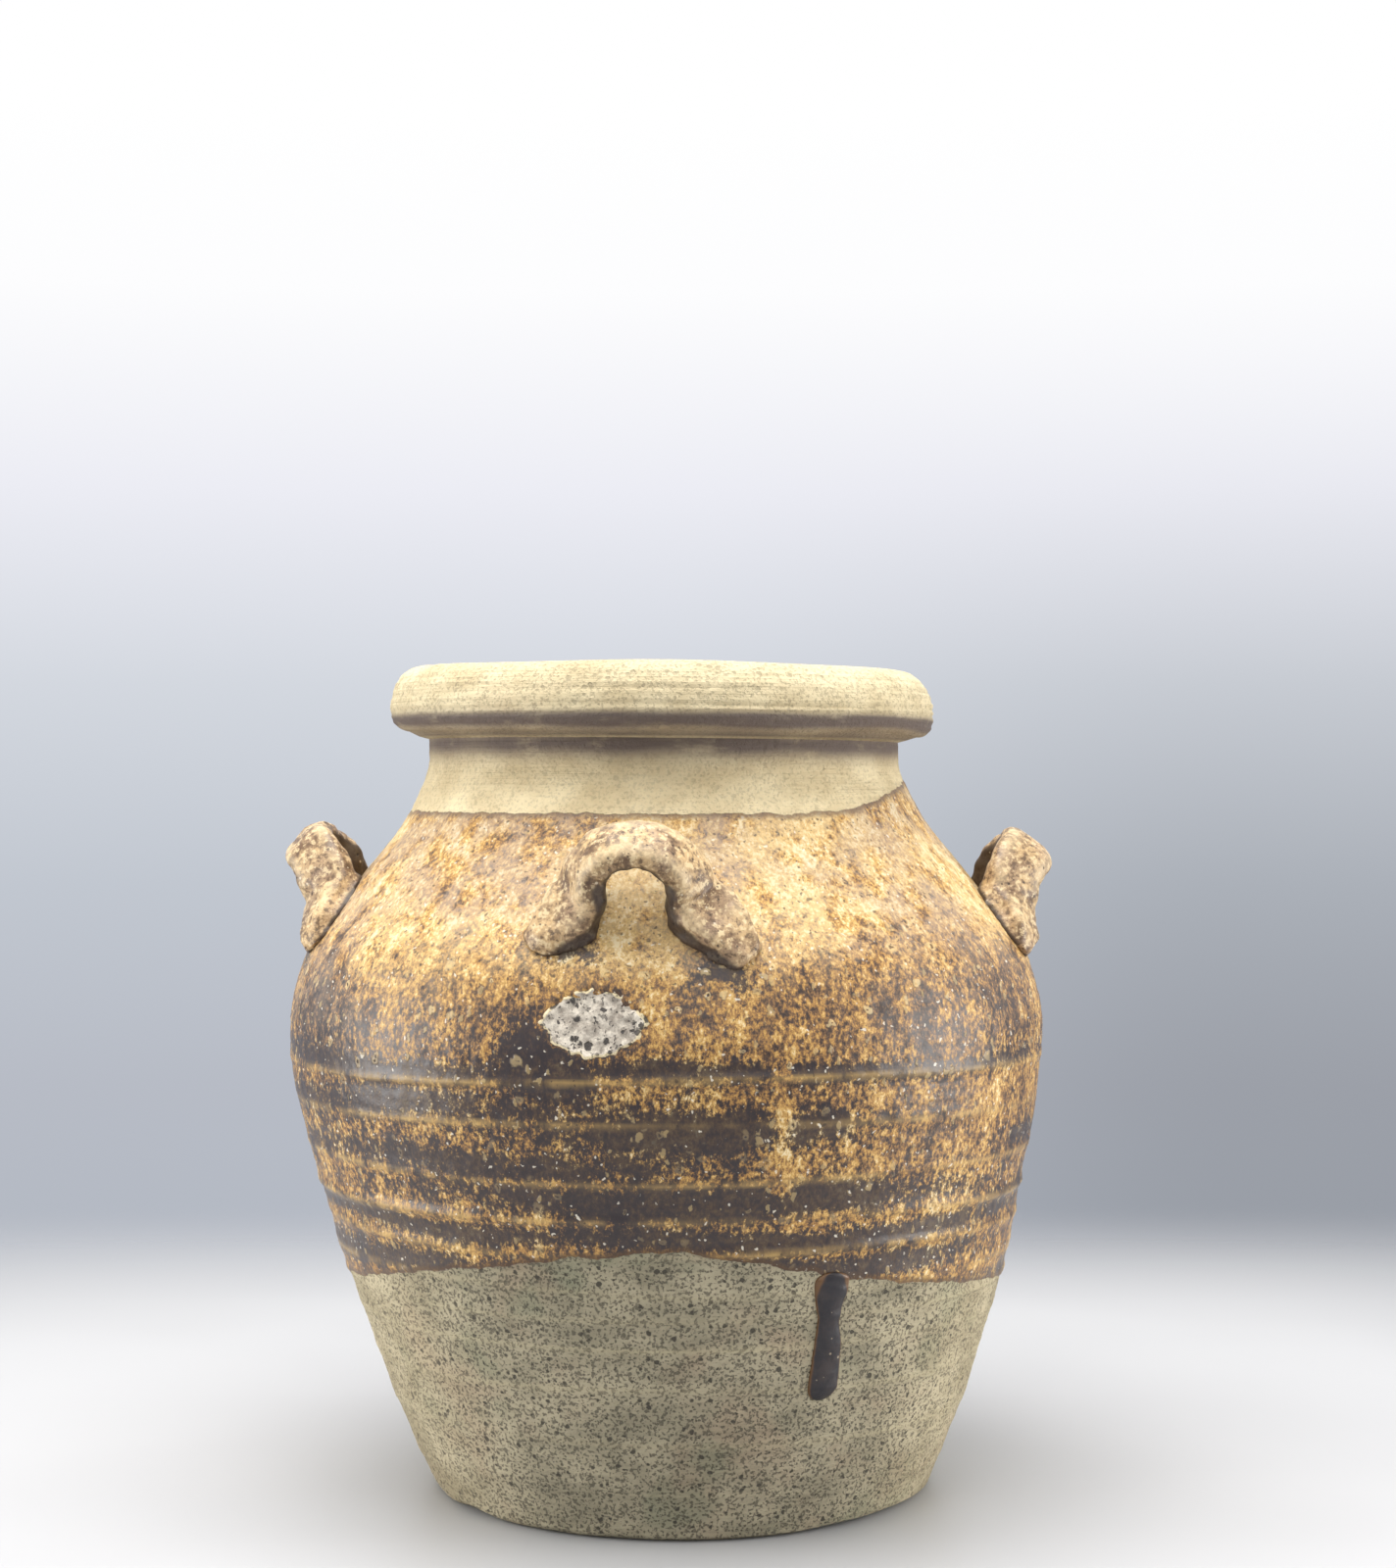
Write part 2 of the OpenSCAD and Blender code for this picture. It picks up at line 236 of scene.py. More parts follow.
def scar_seat(theta, z):
    """How deep the scar's seat is cut into the wall, in millimetres."""
    return SEAT_DEEP * step(scar_depth(theta, z), 0.4, 1.6)


def ridge_field(theta, z):
    """Throwing ridges, [how far they stand out in millimetres, how near their crest from 0 to 1]."""
    out = np.zeros(np.broadcast(theta, z).shape)
    crest = np.zeros_like(out)
    for i, (height, proud, half) in enumerate(RIDGES):
        drift = 0.7 * sine_field(theta, 0 * z, 4, 3, 0, SEED + 20 + i)
        share = 0.7 + 0.3 * sine_field(theta, 0 * z, 5, 6, 0, SEED + 40 + i)
        off = z - height - drift
        sharp = np.where(off > 0, bump(off, half * 1.5), bump(off, half * 0.8))
        out += proud * share * sharp
        crest = np.maximum(crest, np.clip(share, 0, 1.2) * bump(off - 0.2, 0.6))
    return out, crest


def relief(theta, z):
    """How far the real outer surface stands off the smooth outline, in millimetres."""
    ridges, _ = ridge_field(theta, z)
    wobble = 0.35 * sine_field(theta, z / 25, 8, 3, 1, SEED + 3)
    hand = 0.12 * sine_field(theta, z / 6, 10, 5, 2, SEED + 4)
    fine = 0.05 * sine_field(theta, z, 14, 3, 4.2, SEED + 5)
    rough = 0.045 * sine_field(theta, z, 40, 160, 1.8, SEED + 6)
    glaze = GLAZE_THICK * step(glaze_depth(theta, z), -0.2, 0.9)
    shift = -BELLY_SHIFT * np.sin(theta) * bump(z - 92, 32)
    chips = np.zeros_like(wobble)
    for bearing, height, half, deep in CHIPS:
        away = np.hypot(round_from(theta, z, bearing), z - height)
        chips = chips - deep * bump(away, half)
    return ridges + wobble + hand + fine + rough + glaze - scar_seat(theta, z) + shift + chips


def leaned(p):
    """Points as the jar really stands."""
    q = p.copy()
    q[..., 0] -= LEAN * (p[..., 2] - LEAN_Z)
    q[..., 2] -= RIM_DROP * p[..., 0] * step(p[..., 2], RIM_DROP_FROM, RIM_DROP_TO)
    return q


def round_points(r, theta, z):
    """Points in space from radius, bearing and height."""
    return np.stack([r * np.sin(theta), -r * np.cos(theta), z + 0 * r], axis=-1)


def make_piece(name, rings, material, node, loop=False, attributes=None, sharp=40):
    """One closed mesh from rings of points. It is a loop of rings, or its two ends are closed by fans."""
    count, n, _ = rings.shape
    points = leaned(rings.reshape(-1, 3))
    quads = []
    runs = np.linalg.norm(np.diff(rings, axis=0, append=rings[:1]), axis=2).mean(axis=1)
    along = np.concatenate([[0], np.cumsum(runs)]) / np.sum(runs)
    last = count if loop else count - 1
    j = np.arange(n)
    uv = []
    for i in range(last):
        a, b = i * n, (i + 1) % count * n
        quads.append(np.stack([a + j, a + (j + 1) % n, b + (j + 1) % n, b + j], axis=1))
        corners = np.stack([j, j + 1, j + 1, j], axis=1) / n
        rows = np.broadcast_to([along[i], along[i], along[i + 1], along[i + 1]], (n, 4))
        uv.append(np.stack([corners, rows], axis=2).reshape(-1, 2))
    faces = np.concatenate(quads).tolist()
    if not loop:
        ends = np.stack([points[:n].mean(axis=0), points[-n:].mean(axis=0)])
        low, high = len(points), len(points) + 1
        points = np.concatenate([points, ends])
        a = (count - 1) * n
        faces += np.stack([(j + 1) % n, j, 0 * j + low], axis=1).tolist()
        faces += np.stack([a + j, a + (j + 1) % n, 0 * j + high], axis=1).tolist()
        for v, tip in [[0, 0], [along[-2], 1]]:
            corners = np.stack([j, j + 1, j + 0.5], axis=1) / n
            rows = np.broadcast_to([v, v, tip], (n, 3))
            uv.append(np.stack([corners, rows], axis=2).reshape(-1, 2))
    mesh = bpy.data.meshes.new(name)
    mesh.from_pydata((points * MM).tolist(), [], faces)
    layer = mesh.uv_layers.new(name="OFBake")
    layer.data.foreach_set("uv", np.concatenate(uv).ravel())
    for key, values in (attributes or {}).items():
        data = np.zeros(len(points))
        data[:count * n] = np.broadcast_to(values, (count, n)).ravel()
        mesh.attributes.new(key, "FLOAT", "POINT").data.foreach_set("value", data)
    mesh.shade_smooth()
    mesh.set_sharp_from_angle(angle=math.radians(sharp))
    mesh.materials.append(material)
    piece = bpy.data.objects.new(name, mesh)
    bpy.context.scene.collection.objects.link(piece)
    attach(piece, "root")
    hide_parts(node)
    return piece


# Materials. Colours are linear, and stand above the material that uses them first.
def add(tree, kind, inputs=None, **settings):
    """A new node with its settings and inputs, where an input is a value or another node's output."""
    made = tree.nodes.new(kind)
    for key, value in settings.items():
        setattr(made, key, value)
    for key, value in (inputs or {}).items():
        if isinstance(value, bpy.types.NodeSocket):
            tree.links.new(value, made.inputs[key])
        else:
            made.inputs[key].default_value = value
    return made


def calc(tree, operation, a, b=0.0):
    return add(tree, "ShaderNodeMath", {0: a, 1: b}, operation=operation).outputs[0]


def scaled(tree, value, by):
    return calc(tree, "MULTIPLY", value, by)


def swing(tree, value, middle, by):
    """How far a value is above its middle, scaled."""
    return scaled(tree, calc(tree, "SUBTRACT", value, middle), by)


def vector_calc(tree, operation, a, b):
    return add(tree, "ShaderNodeVectorMath", {0: a, 1: b}, operation=operation).outputs[0]


def blend(tree, share, a, b):
    """Colour a where the share is 0, and b where it is 1."""
    return add(tree, "ShaderNodeMix", {0: share, 6: a, 7: b}, data_type="RGBA").outputs[2]


def between(tree, value, low, high, start=0.0, end=1.0):
    """Smooth step of a value from low to high."""
    inputs = {"Value": value, "From Min": low, "From Max": high, "To Min": start, "To Max": end}
    return add(tree, "ShaderNodeMapRange", inputs, interpolation_type="SMOOTHSTEP").outputs[0]


def colour_ramp(tree, value, stops):
    """Colour at each value, straight between stops of [value, (red, green, blue)]."""
    made = add(tree, "ShaderNodeValToRGB", {0: value})
    made.color_ramp.elements[0].position = stops[0][0]
    made.color_ramp.elements[1].position = stops[-1][0]
    for place, _ in stops[1:-1]:
        made.color_ramp.elements.new(place)
    for stop, (_, colour) in zip(made.color_ramp.elements, stops):
        stop.color = (*colour, 1)
    return made.outputs[0]


def between_linear(tree, value, low, high):
    """0 to 1, straight, for a value from low to high."""
    inputs = {"Value": value, "From Min": low, "From Max": high}
    return add(tree, "ShaderNodeMapRange", inputs).outputs[0]


def noise(tree, where, scale, detail=4.0, rough=0.55):
    inputs = {"Vector": where, "Scale": scale, "Detail": detail, "Roughness": rough}
    return add(tree, "ShaderNodeTexNoise", inputs).outputs[0]


def spots(tree, where, scale, radius, rare):
    """Round spots, 1 inside, in a share of 1 minus rare of cells. Also each spot's distance field."""
    made = add(tree, "ShaderNodeTexVoronoi", {"Vector": where, "Scale": scale})
    pick = add(tree, "ShaderNodeSeparateColor", {0: made.outputs["Color"]})
    size = calc(tree, "MULTIPLY", calc(tree, "ADD", pick.outputs[1], 0.5), radius)
    chosen = calc(tree, "GREATER_THAN", pick.outputs[0], rare)
    near = calc(tree, "DIVIDE", made.outputs["Distance"], size)
    inside = calc(tree, "MULTIPLY", between(tree, near, 1.15, 0.75), chosen)
    return inside, near, chosen


def wobbled(tree, where, scale, amount):
    """Coordinates pushed about by noise, so that what is drawn on them loses its regular outline."""
    inputs = {"Vector": where, "Scale": scale, "Detail": 3.0}
    push = add(tree, "ShaderNodeTexNoise", inputs).outputs["Color"]
    centred = vector_calc(tree, "SUBTRACT", push, (0.5, 0.5, 0.5))
    sized = vector_calc(tree, "MULTIPLY", centred, (amount,) * 3)
    return vector_calc(tree, "ADD", where, sized)


def stretched(tree, where, x, y, z):
    return vector_calc(tree, "MULTIPLY", where, (x, y, z))


def attribute(tree, name):
    return add(tree, "ShaderNodeAttribute", attribute_name=name).outputs["Fac"]


def new_material(name):
    """A material with no nodes but its coordinates, in metres: the material, its tree and the coordinates."""
    made = bpy.data.materials.new(name)
    made.use_nodes = True
    tree = made.node_tree
    tree.nodes.clear()
    where = add(tree, "ShaderNodeTexCoord").outputs["Object"]
    return made, tree, where


def finish_material(tree, colour, roughness, height, depth):
    """Joins colour, roughness and height to the one shader. Depth is the bump's full height in metres."""
    bumped = add(tree, "ShaderNodeBump", {"Height": height, "Distance": depth, "Strength": 1.0})
    shader = add(tree, "ShaderNodeBsdfPrincipled", {"Base Color": colour, "Roughness": roughness,
                                                    "Normal": bumped.outputs[0]})
    out = add(tree, "ShaderNodeOutputMaterial")
    tree.links.new(shader.outputs[0], out.inputs[0])


OLIVE_DARK = (0.24, 0.215, 0.145, 1)
OLIVE_PALE = (0.42, 0.37, 0.255, 1)
CLAY_BROWN = (0.33, 0.235, 0.155, 1)
CLAY_GREEN = (0.17, 0.19, 0.12, 1)
CREAM_DARK = (0.66, 0.53, 0.31, 1)
CREAM_PALE = (0.86, 0.73, 0.47, 1)
CLAY_BRUSHED = (0.6, 0.52, 0.34, 1)
CLAY_SPECK = (0.045, 0.04, 0.03, 1)
CLAY_STAIN_AND_SHADE = (0.13, 0.1, 0.085, 1)
CLAY_CREST = (0.5, 0.43, 0.27, 1)


def clay_colour(tree, where):
    """Bare stoneware, olive-grey to cream, with dark iron specks: its colour, specks and brush marks."""
    # Cream is the neck's pale clay, and painted side light on the lower clay away from the front
    cream = attribute(tree, "cream")
    drift = noise(tree, where, 38, 3)
    tint = between(tree, noise(tree, stretched(tree, where, 1, 1, 1.6), 62, 4, 0.6), 0.3, 0.7)
    olive = blend(tree, tint, OLIVE_DARK, OLIVE_PALE)
    olive = blend(tree, between(tree, drift, 0.5, 0.66, 0, 0.45), olive, CLAY_BROWN)
    green = between(tree, noise(tree, where, 55, 2), 0.56, 0.7, 0, 0.5)
    olive = blend(tree, green, olive, CLAY_GREEN)
    pale = blend(tree, tint, CREAM_DARK, CREAM_PALE)
    colour = blend(tree, cream, olive, pale)
    brushed = noise(tree, stretched(tree, where, 0.12, 0.12, 6), 190, 3, 0.6)
    colour = blend(tree, between(tree, brushed, 0.35, 0.7, 0, 0.14), colour, CLAY_BRUSHED)
    loose = wobbled(tree, where, 900, 0.0011)
    big, _, _ = spots(tree, loose, 560, 0.24, 0.55)
    small, _, _ = spots(tree, loose, 1150, 0.3, 0.35)
    grain = between(tree, noise(tree, where, 1300, 2), 0.53, 0.64, 0, 0.7)
    specks = calc(tree, "MAXIMUM", calc(tree, "MAXIMUM", big, scaled(tree, small, 0.75)), grain)
    specks = calc(tree, "MULTIPLY", specks, between(tree, cream, 0, 1, 0.92, 0.22))
    colour = blend(tree, specks, colour, CLAY_SPECK)
    # Iron stain, with painted shade, below the rim
    patchy = noise(tree, stretched(tree, where, 1, 1, 3), 120, 4)
    stain_and_rim_shade = calc(tree, "MULTIPLY", attribute(tree, "stain_and_rim_shade"), between(tree, patchy, 0.22, 0.45, 0.78, 1))
    colour = blend(tree, stain_and_rim_shade, colour, CLAY_STAIN_AND_SHADE)
    return colour, specks, brushed


BLOOM_MAUVE = (0.42, 0.34, 0.27, 1)
BLOOM_OCHRE = (0.7, 0.54, 0.3, 1)
GLAZE_DARK_AND_SHADOW = (0.03, 0.022, 0.024, 1)
GLAZE_CREST = (0.52, 0.34, 0.12, 1)
CRATER_RING = (0.72, 0.54, 0.27, 1)
CRATER_HOLE = (0.05, 0.03, 0.014, 1)
GLAZE_FLECK = (0.6, 0.44, 0.2, 1)
GLAZE_POINT = (0.8, 0.74, 0.62, 1)
GLAZE_PIN = (0.04, 0.028, 0.02, 1)
LIP_BROWN = (0.085, 0.042, 0.016, 1)
LIP_ON_CREAM = (0.15, 0.1, 0.07, 1)
# Tones of the glaze from its darkest brown to cream: [how amber, colour]
GLAZE_TONES = [[0.28, (0.035, 0.02, 0.014)], [0.41, (0.16, 0.085, 0.04)], [0.52, (0.42, 0.22, 0.06)],
               [0.64, (0.67, 0.42, 0.13)], [0.79, (0.86, 0.73, 0.47)]]


def glaze_colour(tree, where):
    """Ash glaze, amber and ochre mottles in brown with streaks, dark bands, craters and white specks: its
    colour, height, darkness and how amber it is."""
    streaks = noise(tree, stretched(tree, where, 1, 1, 0.3), 150, 4, 0.6)
    mottle = noise(tree, where, 260, 4, 0.65)
    cloud = noise(tree, where, 30, 3)
    fine = noise(tree, stretched(tree, where, 1, 1, 0.7), 980, 3, 0.75)
    amber = calc(tree, "ADD", scaled(tree, streaks, 0.55), scaled(tree, mottle, 0.55))
    amber = calc(tree, "ADD", amber, swing(tree, cloud, 0.5, 0.35))
    amber = calc(tree, "ADD", amber, swing(tree, fine, 0.55, 1.1))
    amber = calc(tree, "ADD", amber, scaled(tree, attribute(tree, "warm"), 0.1))
    colour = colour_ramp(tree, amber, GLAZE_TONES)
    veil = between(tree, noise(tree, where, 130, 5, 0.65), 0.36, 0.56)
    haze = calc(tree, "MULTIPLY", attribute(tree, "haze"), veil)
    bloom = blend(tree, between(tree, cloud, 0.42, 0.6), BLOOM_MAUVE, BLOOM_OCHRE)
    colour = blend(tree, scaled(tree, haze, 0.5), colour, bloom)
    patchy = noise(tree, where, 150, 5, 0.75)
    # Dark glaze, and painted shadow below the lugs' feet
    dark = calc(tree, "ADD", attribute(tree, "dark"), swing(tree, patchy, 0.5, 2.0))
    dark = calc(tree, "SUBTRACT", dark, swing(tree, fine, 0.52, 2.2))
    dark = between(tree, dark, 0.3, 0.85, 0, 0.9)
    colour = blend(tree, dark, colour, GLAZE_DARK_AND_SHADOW)
    crest = calc(tree, "MULTIPLY", attribute(tree, "crest"), between(tree, streaks, 0.34, 0.6))
    colour = blend(tree, scaled(tree, crest, 0.85), colour, GLAZE_CREST)
    loose = wobbled(tree, where, 480, 0.0026)
    crater, near, chosen = spots(tree, loose, 230, 0.21, 0.5)
    ring = calc(tree, "MULTIPLY", crater, between(tree, near, 0.3, 0.55))
    ring = calc(tree, "MULTIPLY", ring, attribute(tree, "pits"))
    colour = blend(tree, scaled(tree, ring, 0.65), colour, CRATER_RING)
    hole = calc(tree, "MULTIPLY", between(tree, near, 0.42, 0.25), chosen)
    hole = calc(tree, "MULTIPLY", hole, attribute(tree, "pits"))
    colour = blend(tree, hole, colour, CRATER_HOLE)
    flecks, _, _ = spots(tree, stretched(tree, loose, 1, 1, 0.6), 420, 0.2, 0.5)
    colour = blend(tree, scaled(tree, flecks, 0.45), colour, GLAZE_FLECK)
    points, _, _ = spots(tree, loose, 760, 0.18, 0.72)
    colour = blend(tree, scaled(tree, points, 0.75), colour, GLAZE_POINT)
    pins, _, _ = spots(tree, loose, 800, 0.22, 0.55)
    colour = blend(tree, scaled(tree, pins, 0.7), colour, GLAZE_PIN)
    height = calc(tree, "ADD", scaled(tree, mottle, 0.5), scaled(tree, ring, 0.35))
    height = calc(tree, "SUBTRACT", height, scaled(tree, hole, 0.8))
    height = calc(tree, "ADD", height, scaled(tree, flecks, 0.25))
    return colour, height, dark, amber


def jar_material():
    """The walls, neck and rim: bare clay, and glaze where the attribute glaze is above nothing."""
    made, tree, where = new_material("jar_surface")
    clay, specks, brushed = clay_colour(tree, where)
    glaze, glaze_height, dark, amber = glaze_colour(tree, where)
    ragged = swing(tree, noise(tree, where, 420, 4), 0.5, 1.3)
    edge = calc(tree, "ADD", attribute(tree, "glaze"), ragged)
    coat = between(tree, edge, -0.1, 0.15)
    lip = scaled(tree, between(tree, edge, 1.7, 0.3), 0.75)
    lip_colour = blend(tree, attribute(tree, "cream"), LIP_BROWN, LIP_ON_CREAM)
    glaze = blend(tree, lip, glaze, lip_colour)
    crest = scaled(tree, attribute(tree, "crest"), 0.45)
    clay = blend(tree, crest, clay, CLAY_CREST)
    colour = blend(tree, coat, clay, glaze)
    gloss = between(tree, amber, 0.4, 0.75, 0.42, 0.58)
    gloss = calc(tree, "SUBTRACT", gloss, scaled(tree, dark, 0.08))
    gloss = calc(tree, "ADD", gloss, scaled(tree, attribute(tree, "haze"), 0.12))
    roughness = between(tree, coat, 0, 1, 0.85, 0.0)
    roughness = calc(tree, "ADD", roughness, calc(tree, "MULTIPLY", coat, gloss))
    grain = noise(tree, where, 900, 4, 0.7)
    clay_height = calc(tree, "ADD", scaled(tree, grain, 0.8), brushed)
    clay_height = calc(tree, "SUBTRACT", clay_height, specks)
    height = add(tree, "ShaderNodeMix", {0: coat, 2: clay_height, 3: glaze_height}).outputs[0]
    finish_material(tree, colour, roughness, height, 0.0004)
    return made


LUG_BROWN = (0.13, 0.07, 0.035, 1)
LUG_OCHRE = (0.56, 0.38, 0.19, 1)
LUG_BLOOM = (0.36, 0.24, 0.15, 1)
LUG_MOTTLE = (0.74, 0.58, 0.34, 1)
LUG_DARK = (0.08, 0.045, 0.025, 1)
LUG_WORN = (0.72, 0.56, 0.34, 1)
LUG_SHADE_AND_DARK_GLAZE = (0.035, 0.022, 0.018, 1)
LUG_CHIP = (0.42, 0.38, 0.33, 1)
LUG_POINT = (0.68, 0.58, 0.42, 1)
LUG_PIN = (0.03, 0.02, 0.016, 1)


def lug_material():
    """Brown glaze with a mauve bloom, worn to amber and cream along its edges."""
    made, tree, where = new_material("lug_glaze")
    body = noise(tree, where, 170, 5, 0.65)
    bloom = noise(tree, where, 90, 3)
    fine = noise(tree, where, 640, 3, 0.7)
    colour = blend(tree, between(tree, body, 0.34, 0.64), LUG_BROWN, LUG_OCHRE)
    colour = blend(tree, between(tree, bloom, 0.42, 0.6, 0, 0.6), colour, LUG_BLOOM)
    colour = blend(tree, between(tree, fine, 0.52, 0.62, 0, 0.75), colour, LUG_MOTTLE)
    colour = blend(tree, between(tree, fine, 0.48, 0.38, 0, 0.75), colour, LUG_DARK)
    amber = calc(tree, "ADD", attribute(tree, "worn"), scaled(tree, body, 0.7))
    colour = blend(tree, between(tree, amber, 0.75, 1.25, 0, 0.7), colour, LUG_WORN)
    # Painted shade, with darker glaze, where the lug meets the wall, inside the arch and under the legs
    under = calc(tree, "ADD", attribute(tree, "under"), scaled(tree, body, 0.5))
    colour = blend(tree, between(tree, under, 0.6, 1.0, 0, 0.9), colour, LUG_SHADE_AND_DARK_GLAZE)
    chip = calc(tree, "ADD", attribute(tree, "chip"), scaled(tree, body, 0.5))
    colour = blend(tree, between(tree, chip, 0.8, 0.95), colour, LUG_CHIP)
    points, _, _ = spots(tree, where, 620, 0.16, 0.74)
    colour = blend(tree, scaled(tree, points, 0.7), colour, LUG_POINT)
    pins, _, _ = spots(tree, where, 760, 0.2, 0.74)
    colour = blend(tree, scaled(tree, pins, 0.7), colour, LUG_PIN)
    height = calc(tree, "SUBTRACT", scaled(tree, body, 0.9), scaled(tree, pins, 0.6))
    finish_material(tree, colour, between(tree, body, 0.3, 0.7, 0.4, 0.58), height, 0.0004)
    return made


RUN_BLACK = (0.012, 0.01, 0.014, 1)
RUN_BROWN = (0.035, 0.025, 0.024, 1)
RUN_THIN = (0.16, 0.075, 0.022, 1)
RUN_POINT = (0.45, 0.36, 0.25, 1)


def run_material():
    """Thick blue-black glaze that thins to amber at its edges."""
    made, tree, where = new_material("dark_glaze")
    body = noise(tree, where, 260, 4, 0.6)
    colour = blend(tree, between(tree, body, 0.35, 0.7), RUN_BLACK, RUN_BROWN)
    thin = calc(tree, "ADD", attribute(tree, "worn"), scaled(tree, body, 0.5))
    colour = blend(tree, between(tree, thin, 0.85, 1.2, 0, 0.85), colour, RUN_THIN)
    points, _, _ = spots(tree, where, 640, 0.15, 0.8)
    colour = blend(tree, scaled(tree, points, 0.6), colour, RUN_POINT)
    finish_material(tree, colour, between(tree, body, 0.3, 0.7, 0.3, 0.42), body, 0.0002)
    return made


SCAR_GREY = (0.34, 0.29, 0.24, 1)
SCAR_PALE = (0.86, 0.78, 0.66, 1)
SCAR_EDGE = (0.85, 0.72, 0.46, 1)
SCAR_PIT = (0.05, 0.045, 0.045, 1)


def scar_material():
    """Rough pale clay with black pits and a cream edge."""
    made, tree, where = new_material("scar_clay")
    body = noise(tree, where, 420, 5, 0.7)
    colour = blend(tree, between(tree, body, 0.3, 0.68), SCAR_GREY, SCAR_PALE)
    rim = calc(tree, "ADD", attribute(tree, "worn"), scaled(tree, body, 0.4))
    colour = blend(tree, between(tree, rim, 0.8, 1.1), colour, SCAR_EDGE)
    loose = wobbled(tree, where, 500, 0.003)
    pits, _, _ = spots(tree, loose, 560, 0.34, 0.45)
    fine, _, _ = spots(tree, loose, 1300, 0.32, 0.6)
    holes = calc(tree, "MAXIMUM", pits, scaled(tree, fine, 0.7))
    colour = blend(tree, scaled(tree, holes, 0.9), colour, SCAR_PIT)
    height = calc(tree, "SUBTRACT", body, holes)
    finish_material(tree, colour, between(tree, body, 0.3, 0.7, 0.8, 0.92), height, 0.0011)
    return made


# Walls
THETA = round_angles(COLUMNS)[None, :]


def dark_glaze_and_foot_shadow(theta, z, scar):
    """How dark the glaze is in its bands and the pool beside the scar, and painted shadow below each lug's
    feet.
    """
    dark = np.zeros(scar.shape)
    for height, half, bearing, reach, strength in BANDS:
        drift = 1.2 * sine_field(theta, 0 * z, 5, 6, 0, int(height * 10 + bearing) % 997)
        band = strength * bump(z - height - drift, half) * near_bearing(theta, bearing, reach)
        dark = np.maximum(dark, band)
    across = round_from(theta, z, SCAR_BEARING)
    up = z - SCAR_Z
    pool = bump(np.hypot(across + 12.5, (up + 7) * 0.9), 6) + bump(np.hypot(across + 6, up + 10), 4.5)
    dark = np.maximum(dark, 2.3 * np.clip(pool, 0, 1) * step(-scar, 0, 1.5))
    # Painted shadow below the two feet of each lug
    for bearing in LUG_BEARINGS:
        for place, height, half in FOOT_SHADES:
            beside = round_from(theta, z, bearing) - place
            below = z - height + 0.5 * np.abs(beside)
            dark = np.maximum(dark, 1.1 * bump(np.hypot(beside / half, below / 3.2), 1))
    return dark


def dullness(theta, z):
    """Even darkness of the belly, less at the front right, and of two patches on the shoulder."""
    dull = 0.34 * step(z, 56, 60) * (1 - step(z, 102, 122))
    dull = dull * (1 - 0.8 * near_bearing(theta, 45, 24) * step(z, 78, 84))
    dull = dull + 0.22 * bump(z - 91, 6) * near_bearing(theta, -8, 22)
    dull = dull + 0.2 * near_bearing(theta, -52, 24) * bump(z - 112, 11)
    return dull + 0.25 * near_bearing(theta, 55, 20) * bump(z - 110, 9)


def warmth(theta, z, streaks):
    """How far the glaze turns to ochre and cream, or to brown where it is below nothing."""
    warm = 1.35 * step(z, 118, 139) + 0.1 * near_bearing(theta, 50, 24) * bump(z - 92, 12) - 0.35
    sides = 1.3 * near_bearing(theta, -50, 30) + 0.8 * near_bearing(theta, 52, 22)
    warm = warm - sides * bump(z - 112, 9)
    return warm + 1.2 * streaks * (0.6 + 0.6 * sine_field(theta * 0, z / 3, 8, 0, 1.5, SEED + 10))


def wall_attributes(theta, z, outer):
    """What the jar's material reads at each place. Glaze is the depth inside the glaze, in millimetres."""
    glaze = np.clip(glaze_depth(theta, z), -GLAZE_REACH, GLAZE_REACH)
    scar = scar_depth(theta, z)
    streaks = near_bearing(theta, STREAK_BEARING, 1.8) * step(z, 74, 80) * (1 - step(z, 104, 110))
    dark = dark_glaze_and_foot_shadow(theta, z, scar) + dullness(theta, z)
    dark = dark * (1 - 0.8 * streaks) * (1 - 0.6 * near_bearing(theta, 50, 16) * bump(z - 88, 10))
    crest = ridge_field(theta, z)[1] * step(z, 8, 20) * (1 - step(z, 105, 112))
    haze = step(z, 116, 138) + 0.5 * bump(z - 118, 9) * near_bearing(theta, -75, 35)
    pits = 0.25 + 0.75 * bump(z - 118, 14) + 0.7 * streaks + bump(np.abs(scar + 2.5), 1.6)
    # Cream is the neck's pale clay; below 150 mm it is painted side light, paler bare clay away from the
    # front
    cream = 0.34 * step(np.abs(turn_from(theta, 2)), 28, 62) * (1 - step(z, 140, 150))
    cream = step(z, 152, 156) + cream
    # An iron stain with painted shade below the rim: on the neck's top and the rim's rounded underside
    ragged = sine_field(theta, z / 3, 12, 14, 1, SEED + 9)
    stain_and_rim_shade = 1.05 * bump(z - 171.8, 3.6) * (1 + 0.06 * ragged)
    stain_and_rim_shade = stain_and_rim_shade + 1.25 * bump(z - 177, 1.5) * (1 + 0.12 * ragged)
    return {"glaze": np.where(outer > 0, glaze, -GLAZE_REACH), "dark": np.where(outer > 0, dark, 0),
            "crest": np.where(outer > 0, crest, 0), "haze": np.clip(haze, 0, 1.1),
            "warm": warmth(theta, z, streaks), "pits": np.clip(pits, 0, 1), "cream": cream,
            "stain_and_rim_shade": np.clip(np.where(outer > 0, stain_and_rim_shade, 0), 0, 1)}


def spaced(low, high, gap):
    """Heights from one to the other in even steps of about the gap."""
    return np.linspace(low, high, max(2, int(round(abs(high - low) / gap)) + 1))


def inside_radius(z):
    """Radius of the smooth inner surface."""
    heights = np.arange(0, OUTSIDE[-1, 0] + 1)
    slope = np.gradient(outline(heights))
    thick = WALL * np.sqrt(1 + np.interp(z, heights, slope) ** 2)
    plain = outline(z) - thick
    share = step(z, 140, COLLAR_Z)
    return plain * (1 - share) + MOUTH_R * share


